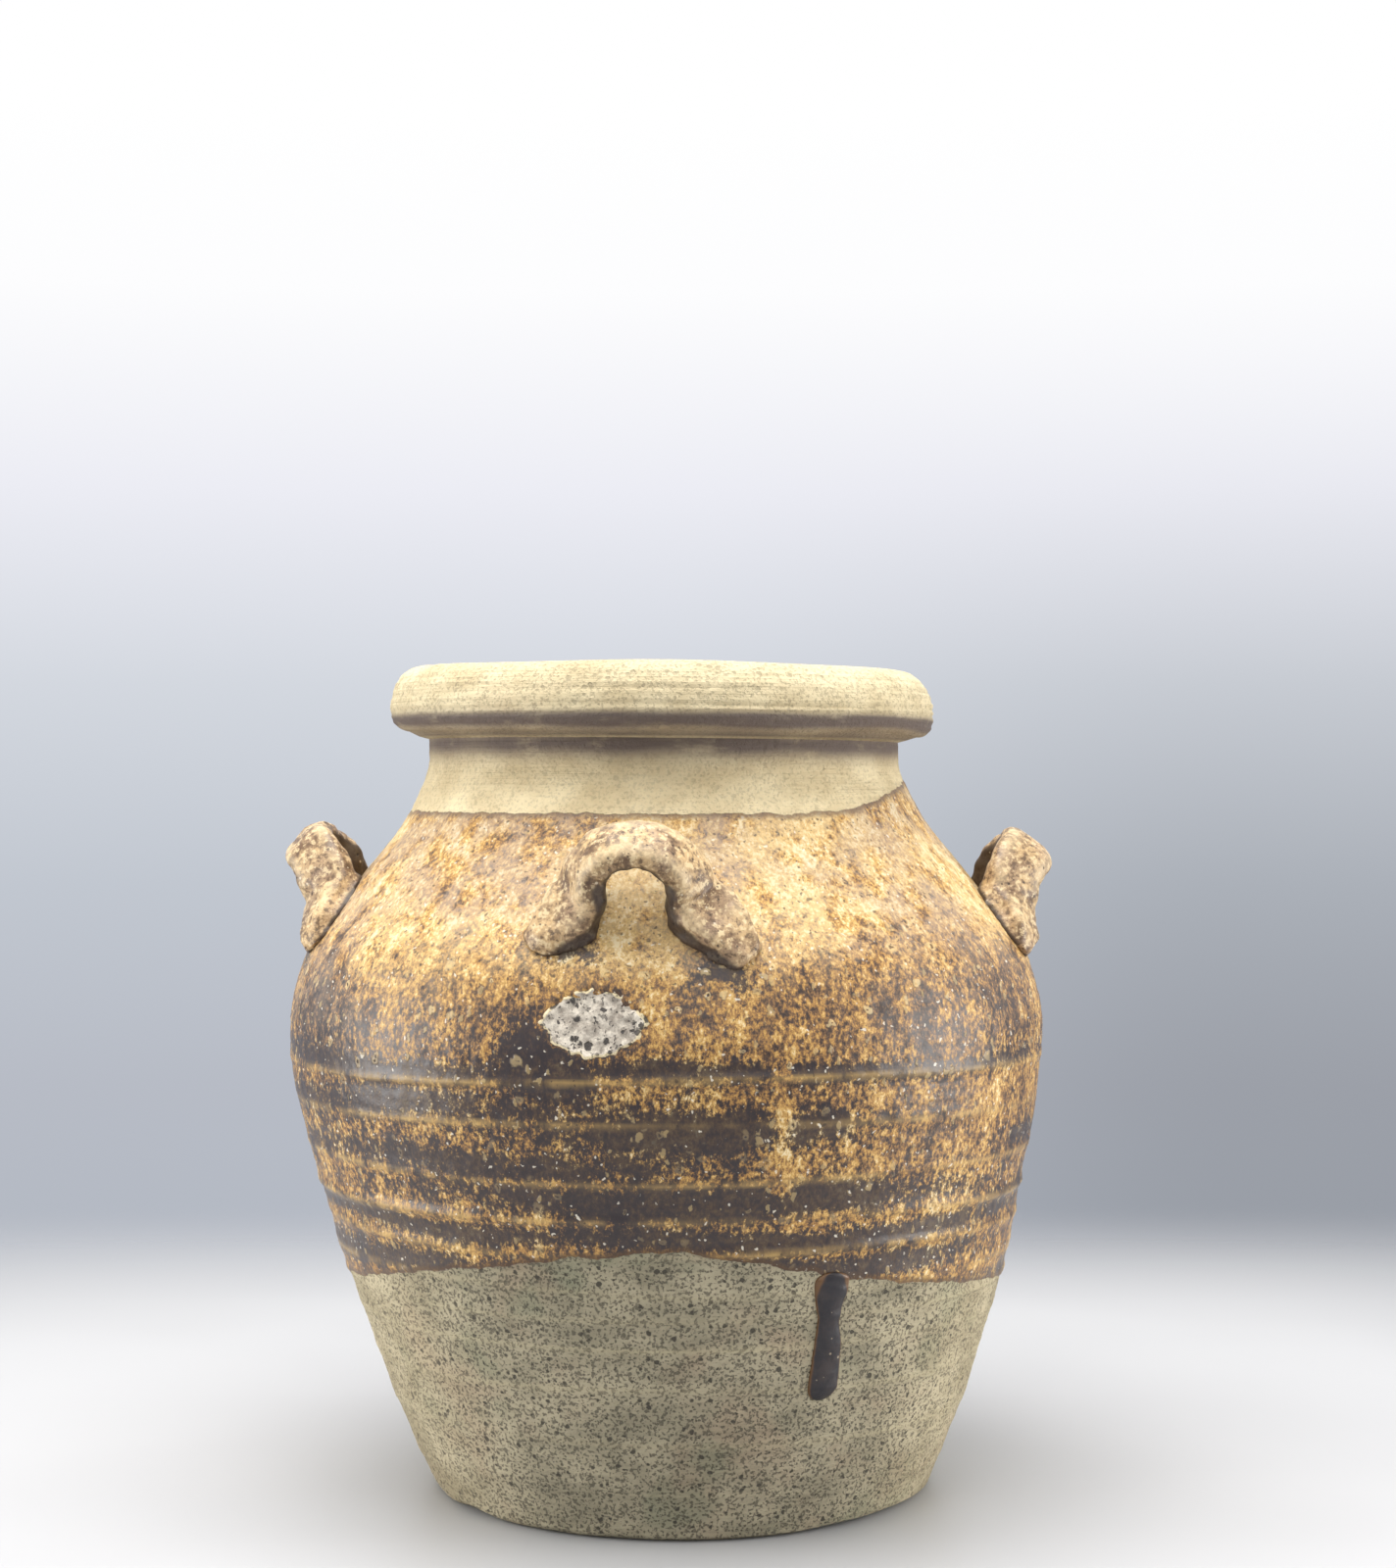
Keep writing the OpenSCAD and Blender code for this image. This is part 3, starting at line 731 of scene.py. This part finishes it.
def rings_from(profile):
    """Rings of points and their attributes, from a profile of [radius, height, 1 outside or 0 inside]."""
    table = np.array(profile, dtype=float)
    r, z, outer = (table[:, k][:, None] for k in range(3))
    throwing = 0.35 * sine_field(THETA, z / 4, 8, 2, 1, SEED + 12) * (1 - outer)
    inner_share = np.where((outer == 0) & (r > 5) & (z > FLOOR_TOP), 1, 0)
    radius = r + outer * relief(THETA, z) + throwing * inner_share
    rings = round_points(radius, THETA, z)
    return rings, wall_attributes(THETA + 0 * z, z + 0 * THETA, outer + 0 * THETA)


def thrown_wall(name, low, high, material):
    """Wall between two bevelled seams, each higher inside than outside by the bevel."""
    up = spaced(low - BEVEL, high - BEVEL, ROW_STEP)
    down = spaced(high + BEVEL, low + BEVEL, 4)
    profile = [[outline(z), z, 1] for z in up] + [[inside_radius(z), z, 0] for z in down]
    rings, attributes = rings_from(profile)
    make_piece("jar_" + name, rings, material, name, loop=True, attributes=attributes)


def base_slab(material):
    """Floor slab with an uneven, chamfered foot that lifts a little off the floor at the front right."""
    seat_in = inside_radius(6.0)
    under = [[r, 0.35 * (1 - r / 54), 0] for r in np.arange(4, 55, 5.0)]
    foot = [[55.6, 0, 0], [56.5, 0.25, 0]]
    side = [[outline(z), z, 1] for z in np.arange(1.0, 3.01, 0.4)]
    top = [[seat_in, 6, 0], [seat_in - 3, 7, 0], [seat_in - 7, FLOOR_TOP, 0]]
    floor = [[r, FLOOR_TOP, 0] for r in np.arange(45, 3, -5.0)]
    rings, attributes = rings_from(under + foot + side + top + floor)
    bearing = np.arctan2(rings[..., 0], -rings[..., 1])
    uneven = sine_field(bearing, 0 * bearing, 10, 14, 0, SEED + 14)
    lift = 0.8 * near_bearing(bearing, 52, 20) + 0.25 * uneven ** 2
    rings[..., 2] += lift * (1 - step(rings[..., 2], 0.2, 2.6))
    make_piece("jar_base_slab", rings, material, "base_slab", attributes=attributes)


def arc(centre, rx, rz, start, end, count):
    """Profile points along part of an ellipse, from one angle to another in degrees."""
    turn = np.radians(np.linspace(start, end, count))
    return [[centre[0] + rx * math.cos(a), centre[1] + rz * math.sin(a), 0] for a in turn]


def rim_roll(material):
    """Rolled rim: a rounded coil with brush grooves, a wavy lower lip and small chips."""
    crown_rx = (RIM_R - MOUTH_R - 3) / 1.6
    start = [[MOUTH_R, RIM_Z + BEVEL, 0], [51.5, RIM_Z, 0], [55, RIM_Z - BEVEL, 0]]
    lip = [[57.4, RIM_Z - 0.9, 0], [RIM_R - 4, RIM_Z, 0]]
    corner = arc([RIM_R - 4, RIM_Z + 4], 4, 4, -84, 0, 12)
    side = [[RIM_R, z, 0] for z in np.arange(RIM_Z + 4.3, JAR_H - 9.6, 0.35)]
    crown = arc([RIM_R - crown_rx, JAR_H - 9.5], crown_rx, 9.5, 0, 90, 26)
    edge = arc([MOUTH_R + 3, JAR_H - 3], 3, 3, 90, 180, 8)
    inner = [[MOUTH_R, z, 0] for z in spaced(JAR_H - 4, RIM_Z + 4, 1.5)]
    profile = np.array(start + lip + corner + side + crown + edge + inner)
    r, z = profile[:, 0][:, None], profile[:, 1][:, None]
    outside = step(r, 55.2, 59)
    grooves = 0.14 * sine_field(THETA, z, 16, 3, 5.5, SEED + 15) * outside
    wave = 0.3 * sine_field(THETA, z / 12, 8, 5, 1, SEED + 16) * outside
    scratch = 0.05 * sine_field(THETA, z, 30, 140, 2.5, SEED + 17) * outside
    radius = r + grooves + wave + scratch + relief(THETA, z) * (1 - outside) * step(r, 50, 54)
    low_lip = bump(z - RIM_Z, 3) * step(r, 57, 61)
    height = z + 0.45 * sine_field(THETA, 0 * z, 10, 11, 0, SEED + 18) * low_lip
    height = height + 0.2 * sine_field(THETA, 0 * z, 9, 7, 0, SEED + 19) * step(z, 183, 189)
    for bearing, level, half, deep in RIM_CHIPS:
        away = np.hypot(np.radians(turn_from(THETA, bearing)) * RIM_MEAN_R, z - level)
        radius = radius - deep * 0.6 * bump(away, half) * step(r, 50, 56)
        height = height - deep * bump(away, half) * step(z, 183, 188)
    rings = round_points(radius, THETA, height)
    attributes = wall_attributes(THETA + 0 * z, z + 0 * THETA, outside)
    for key, value in [["glaze", -GLAZE_REACH], ["cream", 0.72], ["crest", 0]]:
        attributes[key] = np.full_like(attributes["glaze"], value)
    make_piece("jar_rim_roll", rings, material, "rim_roll", loop=True,
               attributes=attributes)


# Lugs
def half_strap(foot, low):
    """Stations from the crown to a foot's tip: [round, rise, off, share of the twist, width, thickness]."""
    return [[0, 0, STAND, 0, STRAP_W, STRAP_T + 0.3],
            [SPAN * 0.5, -0.2, STAND * 0.93, 0.08, STRAP_W + 0.3, STRAP_T + 0.6],
            [SPAN * 0.95, -1.0, STAND * 0.72, 0.3, STRAP_W + 1, STRAP_T + 1.4],
            [SPAN + 1.6, -2.6, STAND * 0.48, 0.55, STRAP_W + 1.8, STRAP_T + 2.4],
            [SPAN + 3.2, -4.8, STAND * 0.26, 0.78, STRAP_W + 2, STRAP_T + 2.8],
            [REACH + foot * 0.38, -7.4 - low * 0.4, 2.4, 0.92, STRAP_W + 1.2, STRAP_T + 2],
            [REACH + foot * 0.68, -10 - low * 0.8, 1.7, 1, STRAP_W - 1.5, STRAP_T + 1.2],
            [REACH + foot * 0.92, -12.2 - low, 0.5, 1, STRAP_W - 6, STRAP_T]]


def lug(name, bearing, rise, left, right, material, seed, chip=None):
    """Strap lug pulled into an arch, its two feet pressed flat. Left and right: [foot length, extra drop]."""
    base = LUG_Z + rise
    right_side = np.array(half_strap(*right))
    left_side = np.array(half_strap(*left))[:0:-1]
    left_side[:, 0] *= -1
    left_side[:, 3] *= -1
    stations = np.concatenate([left_side, right_side])
    padded = np.concatenate([stations[:1], stations, stations[-1:]])

    def at(s):
        i = int(min(max(math.floor(s), 0), len(stations) - 2))
        t = s - i
        a, b, c, d = padded[i:i + 4]
        straight = 2 * b + (c - a) * t
        bend = (2 * a - 5 * b + 4 * c - d) * t * t
        return 0.5 * (straight + bend + (3 * b - a - 3 * c + d) * t ** 3)

    def surface(p):
        z = base + p[1]
        slope = float(wall_slope(z))
        out = np.array([1, -slope]) / math.hypot(1, slope)
        r = float(outline(z))
        return p[0] / r, out, r

    def point(p):
        a, out, r = surface(p)
        reach = r + p[2] * out[0]
        return np.array([reach * math.sin(a), -reach * math.cos(a), base + p[1] + p[2] * out[1]])

    def direction(p, d):
        a, out, _ = surface(p)
        return (d[0] * np.array([math.cos(a), math.sin(a), 0])
                + d[1] * np.array([out[1] * math.sin(a), -out[1] * math.cos(a), -out[0]])
                + d[2] * np.array([out[0] * math.sin(a), -out[0] * math.cos(a), out[1]]))

    steps = np.linspace(0, len(stations) - 1, (len(stations) - 1) * STRAP_CUTS + 1)
    angles = round_angles(STRAP_SIDES, 0.5)
    square = [np.sign(f(angles)) * np.abs(f(angles)) ** 0.7 for f in (np.cos, np.sin)]
    rings = []
    worn = []
    # Painted shade on the faces inside the arch and on the legs' downward faces
    eye_side = np.clip(0.2 - 1.2 * square[1], 0, 1)
    down_side = np.clip(0.75 * square[0] - 0.9 * square[1], 0, 1)
    shaded = []
    for s in steps:
        v = at(s)
        ahead = point(at(min(s + 0.05, len(stations) - 1))) - point(at(max(s - 0.05, 0)))
        ahead /= np.linalg.norm(ahead)
        turn = math.radians(FOOT_SPLAY * v[3])
        roll = math.radians(STRAP_ROLL * (1 - abs(v[3])))
        wide = direction(v, [-math.sin(turn), math.cos(turn) * math.cos(roll), math.sin(roll)])
        wide -= (wide @ ahead) * ahead
        wide /= np.linalg.norm(wide)
        thick = np.cross(wide, ahead)
        offset = square[0][:, None] * wide * v[4] / 2 + square[1][:, None] * thick * v[5] / 2
        rings.append(point(v) + offset)
        worn.append(np.abs(square[0] * square[1]))
        leg = float(step(abs(v[3]), 0.1, 0.5))
        shaded.append(np.maximum(0.8 * eye_side, down_side * leg))
    tips = []
    for end, before in [[0, 1], [-1, -2]]:
        centre = rings[end].mean(axis=0)
        along = centre - rings[before].mean(axis=0)
        along /= np.linalg.norm(along)
        tips.append([centre + along * move + (rings[end] - centre) * size for move, size in TIP_RINGS])
    rings = np.array(tips[0][::-1] + rings + tips[1])
    plain = [0 * worn[0]] * 2
    worn = np.array(plain + worn + plain)
    shaded = np.array(shaded[:1] * 2 + shaded + shaded[-1:] * 2)
    centres = rings.mean(axis=1, keepdims=True)
    outward = rings - centres
    outward /= np.linalg.norm(outward, axis=2, keepdims=True)
    uneven = 0.36 * lumps(rings, 9, 14, seed) + 0.15 * lumps(rings, 3, 20, seed + 1)
    rings = rings + outward * uneven[..., None]
    rings = turned(rings, bearing)
    centres = turned(centres, bearing)
    height = above_wall(rings)
    spread = rings - centres
    normal = wall_normal(rings)
    spread -= (spread * normal).sum(axis=2, keepdims=True) * normal
    spread /= np.linalg.norm(spread, axis=2, keepdims=True) + 1e-6
    flare = 1.7 * np.clip(1 - np.abs(height) / 2.8, 0, 1) ** 2
    rings = rings + spread * flare[..., None]
    height = above_wall(rings)
    sunk = np.clip(-0.5 - height, 0, None)
    rings = rings + wall_normal(rings) * sunk[..., None]
    out = above_wall(rings)
    # Under is painted shade, with darker glaze: near the wall and on the shaded faces
    attributes = {"worn": worn * step(out, 1, 5) + 0.08 * step(out, 9, 15),
                  "under": np.maximum((1 - step(out, 0.1, 1.8)) * 0.9, shaded),
                  "chip": 0 * out}
    if chip is not None:
        attributes["chip"] = bump(np.linalg.norm(rings - np.array(chip), axis=2), 1.9)
        rings = rings - wall_normal(rings) * (0.5 * attributes["chip"])[..., None]
    make_piece("jar_" + name, rings, material, name, attributes=attributes, sharp=75)


def turned(p, bearing):
    """Points turned about the jar's axis."""
    a = math.radians(bearing)
    x, y = p[..., 0], p[..., 1]
    across = x * math.cos(a) - y * math.sin(a)
    back = x * math.sin(a) + y * math.cos(a)
    return np.stack([across, back, p[..., 2]], axis=-1)


def wall_normal(p):
    """Direction out of the smooth wall at each point."""
    theta = np.arctan2(p[..., 0], -p[..., 1])
    slope = wall_slope(p[..., 2])
    size = np.sqrt(1 + slope ** 2)
    return np.stack([np.sin(theta) / size, -np.cos(theta) / size, -slope / size], axis=-1)


def above_wall(p):
    """Distance of each point off the real outer surface."""
    theta = np.arctan2(p[..., 0], -p[..., 1])
    slope = wall_slope(p[..., 2])
    r = np.hypot(p[..., 0], p[..., 1])
    return (r - outline(p[..., 2]) - relief(theta, p[..., 2])) / np.sqrt(1 + slope ** 2)


def glaze_run(material):
    """Run of thick glaze: rounded across, with a waist and a round lower end."""
    along = (1 - np.cos(np.linspace(0.04, math.pi - 0.04, 70))) / 2
    z = RUN_LOW + (RUN_HIGH - RUN_LOW) * along
    width = 3.25 + 0.75 * step(z, 52, 57.5) - 0.65 * bump(z - 49.5, 3.5) + 0.2 * bump(z - 36.5, 4)
    end = np.sqrt(np.clip(1 - np.clip((RUN_LOW + 3.3 - z) / 3.35, 0, 1) ** 2, 0.002, 1))
    top = np.sqrt(np.clip(1 - np.clip((z - RUN_HIGH + 2) / 2.05, 0, 1) ** 2, 0.002, 1))
    half = width * end * top
    a = round_angles(40)
    across = half[:, None] * np.cos(a)[None, :]
    drift = 0.3 * np.sin(z / 5)[:, None]
    swell = 1.0 + 0.35 * bump(z - 36, 4)
    section = np.where(np.sin(a) > 0, np.abs(np.sin(a)) ** 0.8, -0.35)
    up = section[None, :] * (swell * end * top)[:, None]
    theta = math.radians(RUN_BEARING) + (across + drift) / outline(z)[:, None]
    height = z[:, None] + 0 * theta
    r = outline(height) + relief(theta, height) + up
    rings = round_points(r, theta, height)
    worn = np.broadcast_to(np.abs(np.cos(a)) ** 3, rings.shape[:2]) + 0.5 * step(height, 55, 59)
    make_piece("jar_glaze_run", rings, material, "glaze_run", attributes={"worn": worn},
               sharp=75)


def kiln_scar(material):
    """Patch of rough clay in its seat, with a jagged rim that stands a little proud."""
    a = round_angles(144)
    reach = np.sqrt(LENS_R ** 2 - (LENS_OFF * np.cos(a)) ** 2) - LENS_OFF * np.abs(np.sin(a))
    reach = reach + 0.35 * sine_field(a, 0 * a, 14, 20, 0, SEED + 30) - 0.5 * np.abs(np.cos(a)) ** 8
    shares = np.concatenate([[0.02], np.linspace(0.06, 1, SCAR_RINGS - 1), [1.01, 0.99]])
    shown = (np.arange(len(shares)) < SCAR_RINGS)[:, None]
    buried = np.array([0] * SCAR_RINGS + [-0.3, -0.95])[:, None]
    across = shares[:, None] * (reach * np.cos(a))[None, :]
    up = shares[:, None] * (reach * np.sin(a))[None, :]
    z = SCAR_Z + up
    theta = math.radians(SCAR_BEARING) + across / outline(z)
    flat = np.stack([across, up, 0 * up], axis=-1)
    rough = 0.22 * lumps(flat, 4, 18, SEED + 31) + 0.14 * lumps(flat, 1.7, 24, SEED + 32)
    rim = bump(shares[:, None] - 0.93, 0.09) * (0.7 + 0.4 * lumps(flat, 3, 14, SEED + 33))
    level = -0.45 + rough + 0.75 * rim - 0.2 * step(np.sin(a - 0.6)[None, :], 0.2, 0.9) * (1 - rim)
    proud = np.where(shown, np.clip(level, -0.8, 0.55), buried)
    smooth = relief(theta, z) + scar_seat(theta, z)
    rings = round_points(outline(z) + smooth + proud, theta, z)[::-1]
    worn = (bump(shares[:, None] - 0.97, 0.1) + 0 * across)[::-1]
    make_piece("jar_kiln_scar", rings, material, "kiln_scar", attributes={"worn": worn},
               sharp=60)


def build_jar():
    surface = jar_material()
    lug_glaze = lug_material()
    base_slab(surface)
    thrown_wall("lower_wall", SLAB_Z, LOWER_Z, surface)
    thrown_wall("belly_wall", LOWER_Z, BELLY_Z, surface)
    thrown_wall("shoulder_wall", BELLY_Z, COLLAR_Z, surface)
    thrown_wall("neck_collar", COLLAR_Z, RIM_Z, surface)
    rim_roll(surface)
    front, right, back, left = LUG_BEARINGS
    lug("lug_front", front, 2, [11, -0.4], [13.4, 1.6], lug_glaze, SEED + 50, chip=[-6, -92, 149])
    lug("lug_right", right, -1.2, [10.5, 0], [11.5, 0.6], lug_glaze, SEED + 60)
    lug("lug_back", back, 0, [12, 0], [12, 0], lug_glaze, SEED + 70)
    lug("lug_left", left, 0.6, [12, 0.4], [12.5, 0.8], lug_glaze, SEED + 80)
    glaze_run(run_material())
    kiln_scar(scar_material())


# Stage: a pale floor that fades out behind the jar, a grey-blue to white surround and four soft lamps
FLOOR_GREY = (0.54, 0.545, 0.565, 1)
FLOOR_PALE = (0.56, 0.565, 0.585, 1)
FLOOR_HALF = 0.5
# Gradient of the surround from low to high: [share of the way up, colour]
SKY = [[0.0, (0.5, 0.52, 0.58)], [0.1, (0.46, 0.49, 0.55)], [0.185, (0.475, 0.5, 0.56)],
       [0.326, (0.535, 0.57, 0.63)], [0.47, (0.655, 0.685, 0.74)], [0.61, (0.84, 0.845, 0.905)],
       [0.75, (0.98, 0.98, 0.99)], [0.87, (1, 1, 1)]]
SKY_LIGHT = (0.96, 0.98, 1.0, 1)
SKY_POWER = 0.46
# Lamps: [name, place, target, size in metres, power in watts, tint]
LAMPS = [["top", (-0.04, -0.06, 0.6), (0, 0, 0.08), (0.5, 0.45), 4.6, (1.0, 0.98, 0.95)],
         ["front", (0.1, -0.9, 0.5), (0, 0, 0.1), (0.6, 0.5), 1.4, (1.0, 0.99, 0.97)],
         ["left", (-0.55, -0.08, 0.12), (0, 0, 0.06), (0.3, 0.3), 2.0, (1.0, 0.98, 0.94)],
         ["right", (0.55, -0.08, 0.12), (0, 0, 0.06), (0.3, 0.3), 2.1, (1.0, 0.98, 0.94)]]
# The camera's place, its lens and sensor in millimetres, and how far the horizon is off the middle in pixels
CAMERA = (0.0062, -0.647, 0.1636)
LENS = 63
SENSOR = 36
HORIZON_SHIFT = -3


def floor():
    """A square of floor whose material fades to nothing with distance from the jar."""
    made, tree, where = new_material("floor")
    sides = add(tree, "ShaderNodeSeparateXYZ", {0: where})
    powers = [calc(tree, "POWER", calc(tree, "ABSOLUTE", sides.outputs[k]), 6.0) for k in range(2)]
    away = calc(tree, "POWER", calc(tree, "ADD", *powers), 1 / 6)
    colour = blend(tree, between(tree, noise(tree, where, 6, 2), 0.4, 0.6), FLOOR_GREY, FLOOR_PALE)
    shader = add(tree, "ShaderNodeBsdfPrincipled", {"Base Color": colour, "Roughness": 0.45})
    clear = add(tree, "ShaderNodeBsdfTransparent")
    fade = between(tree, away, 0.19, 0.42)
    mixed = add(tree, "ShaderNodeMixShader", {0: fade, 1: shader.outputs[0], 2: clear.outputs[0]})
    out = add(tree, "ShaderNodeOutputMaterial")
    tree.links.new(mixed.outputs[0], out.inputs[0])
    mesh = bpy.data.meshes.new("floor")
    corners = [(x * FLOOR_HALF, y * FLOOR_HALF, 0) for x, y in [(-1, -1), (1, -1), (1, 1), (-1, 1)]]
    mesh.from_pydata(corners, [], [(0, 1, 2, 3)])
    mesh.materials.append(made)
    piece = bpy.data.objects.new("floor", mesh)
    bpy.context.scene.collection.objects.link(piece)


def surround():
    """World: plain soft light for the object. Camera and gloss see a gradient, darker at the right."""
    world = bpy.data.worlds.new("surround")
    bpy.context.scene.world = world
    world.use_nodes = True
    tree = world.node_tree
    tree.nodes.clear()
    where = add(tree, "ShaderNodeTexCoord").outputs["Generated"]
    sides = add(tree, "ShaderNodeSeparateXYZ", {0: where})
    rise = sides.outputs[2]
    gradient = colour_ramp(tree, between_linear(tree, rise, -0.2, 0.3), SKY)
    right = between(tree, sides.outputs[0], -0.05, 0.2)
    shaded = calc(tree, "MULTIPLY", right, between(tree, rise, 0.16, -0.12, 0, 0.3))
    gradient = blend(tree, shaded, gradient, (0, 0, 0, 1))
    path = add(tree, "ShaderNodeLightPath")
    seen = calc(tree, "MAXIMUM", path.outputs["Is Camera Ray"], path.outputs["Is Glossy Ray"])
    shown = add(tree, "ShaderNodeBackground", {0: gradient, 1: 1.0})
    light = add(tree, "ShaderNodeBackground", {0: SKY_LIGHT, 1: SKY_POWER})
    mixed = add(tree, "ShaderNodeMixShader", {0: seen, 1: light.outputs[0], 2: shown.outputs[0]})
    out = add(tree, "ShaderNodeOutputWorld")
    tree.links.new(mixed.outputs[0], out.inputs[0])


def lamp(name, place, target, size, power, tint):
    """A soft rectangular lamp turned to its target."""
    data = bpy.data.lights.new(name, "AREA")
    data.shape = "RECTANGLE"
    data.size, data.size_y = size
    data.energy = power
    data.color = tint
    made = bpy.data.objects.new(name, data)
    made.location = place
    way = np.array(target) - np.array(place)
    tilt = math.acos(-way[2] / np.linalg.norm(way))
    made.rotation_euler = (tilt, 0, math.atan2(way[1], way[0]) - math.pi / 2)
    bpy.context.scene.collection.objects.link(made)


def camera():
    """The photograph's view: level, from the front, a little right of the jar's middle."""
    data = bpy.data.cameras.new("camera")
    data.sensor_fit = "VERTICAL"
    data.sensor_height = SENSOR
    data.sensor_width = SENSOR
    data.lens = LENS
    data.shift_y = HORIZON_SHIFT / PHOTO_H
    data.clip_start = 0.01
    made = bpy.data.objects.new("camera", data)
    made.location = CAMERA
    made.rotation_euler = (math.radians(90), 0, 0)
    bpy.context.scene.collection.objects.link(made)
    bpy.context.scene.camera = made


build_jar()
floor()
surround()
for settings in LAMPS:
    lamp(*settings)
camera()
bpy.context.scene.view_settings.view_transform = "Standard"
